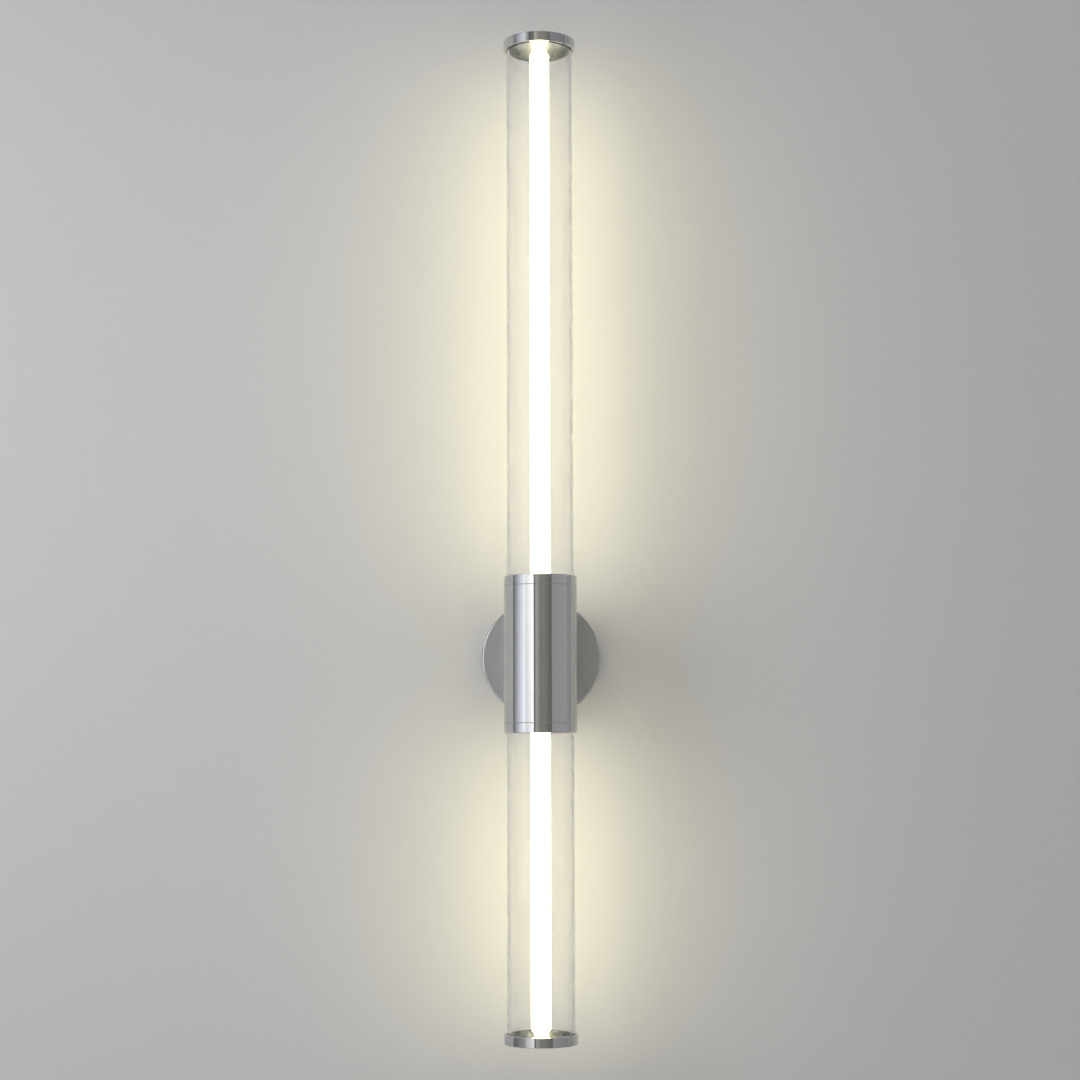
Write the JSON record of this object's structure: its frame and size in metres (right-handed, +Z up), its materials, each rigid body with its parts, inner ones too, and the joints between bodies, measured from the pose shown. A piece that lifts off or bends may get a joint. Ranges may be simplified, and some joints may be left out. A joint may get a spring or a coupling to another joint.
{
  "type": "tube wall light",
  "caption": "Vertical wall light: a metal sleeve on a round wall plate holds a clear tube with a glowing core above and below it, each closed by a shallow metal cap.",
  "frame": {"origin": "centre of the wall plate's back face, on the wall", "axes": "+Z up along the tubes, the longer tube above; the light stands out from the wall towards -Y; X to the right seen from the room"},
  "size_m": [0.1, 0.122, 0.828],
  "materials": {
    "nickel_plate": "nickel plate, polished and finely brushed",
    "zinc_steel": "zinc plated",
    "nickel_screw": "nickel plate",
    "bare_aluminium": "turned or extruded, bare",
    "clear_acrylic": "clear, polished",
    "opal_acrylic": "opal, lit from inside",
    "silicone": "translucent soft ring",
    "white_moulding": "moulded",
    "brass": "bare",
    "circuit_board": "white solder mask",
    "component_black": "moulded",
    "led_phosphor": "phosphor over the chip",
    "brown_pvc": "wire insulation",
    "blue_pvc": "wire insulation",
    "green_yellow_pvc": "wire insulation",
    "white_silicone_wire": "wire insulation"
  },
  "bodies": {
    "root": {"wall_plate": "nickel_plate", "standoff_post": "nickel_plate", "sleeve": "nickel_plate", "upper_collar": "nickel_plate", "lower_collar": "nickel_plate", "upper_end_cap": "nickel_plate", "lower_end_cap": "nickel_plate", "wall_bracket": "zinc_steel", "threaded_nipple": "zinc_steel", "nipple_nuts": "zinc_steel", "lock_washer": "zinc_steel", "locating_pins": "zinc_steel", "driver_tray": "zinc_steel", "tie_screws": "zinc_steel", "core_screws": "zinc_steel", "driver_screws": "zinc_steel", "terminal_fixing_screws": "zinc_steel", "plate_side_screws": "nickel_screw", "end_cap_screws": "nickel_screw", "saddle_clamp": "bare_aluminium", "upper_tube_socket": "bare_aluminium", "lower_tube_socket": "bare_aluminium", "upper_led_bar": "bare_aluminium", "lower_led_bar": "bare_aluminium", "upper_clear_tube": "clear_acrylic", "lower_clear_tube": "clear_acrylic", "upper_diffuser": "opal_acrylic", "lower_diffuser": "opal_acrylic", "upper_core_plug": "opal_acrylic", "lower_core_plug": "opal_acrylic", "upper_tube_seal": "silicone", "lower_tube_seal": "silicone", "upper_cap_seal": "silicone", "lower_cap_seal": "silicone", "terminal_block": "white_moulding", "nipple_bushings": "white_moulding", "driver_case": "white_moulding", "driver_lid": "white_moulding", "terminal_clamp_screws": "brass", "earth_screw": "brass", "earth_lug": "brass", "driver_board": "circuit_board", "upper_led_strips": "circuit_board", "lower_led_strips": "circuit_board", "driver_components": "component_black", "upper_led_chips": "led_phosphor", "lower_led_chips": "led_phosphor", "live_wire": "brown_pvc", "neutral_wire": "blue_pvc", "earth_wire": "green_yellow_pvc", "upper_led_leads": "white_silicone_wire", "lower_led_leads": "white_silicone_wire"}
  },
  "joints": []
}
